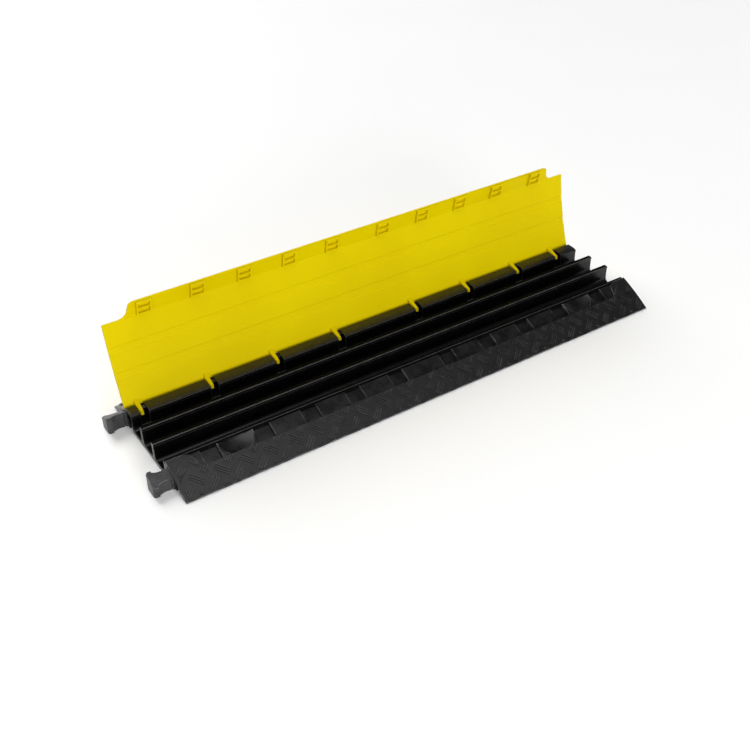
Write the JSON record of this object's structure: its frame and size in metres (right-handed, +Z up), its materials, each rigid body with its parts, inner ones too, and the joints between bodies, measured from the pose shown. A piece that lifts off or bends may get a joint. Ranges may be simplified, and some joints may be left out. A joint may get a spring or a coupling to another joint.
{
  "type": "floor cord cover",
  "caption": "Ramped floor cord cover with open cable channels, linking tongues and a hinged lid standing open.",
  "frame": {"origin": "middle of the base's underside, under the middle channel", "axes": "+X along the cover from the tongues to the sockets, +Y across it from the front ramp to the hinge, +Z up"},
  "size_m": [1.036, 0.3, 0.2154],
  "materials": {
    "base_rubber": "satin moulded black rubber with a treaded ramp",
    "lid_plastic": "satin moulded yellow plastic"
  },
  "bodies": {
    "base": {"base": "base_rubber"},
    "lid": {"lid": "lid_plastic"}
  },
  "joints": [
    {"name": "lid_hinge", "type": "hinge", "parent": "base", "child": "lid", "pos_m": [0, 0.08, 0.0315], "axis": [1, 0, 0], "range_deg": [0, 105]}
  ]
}
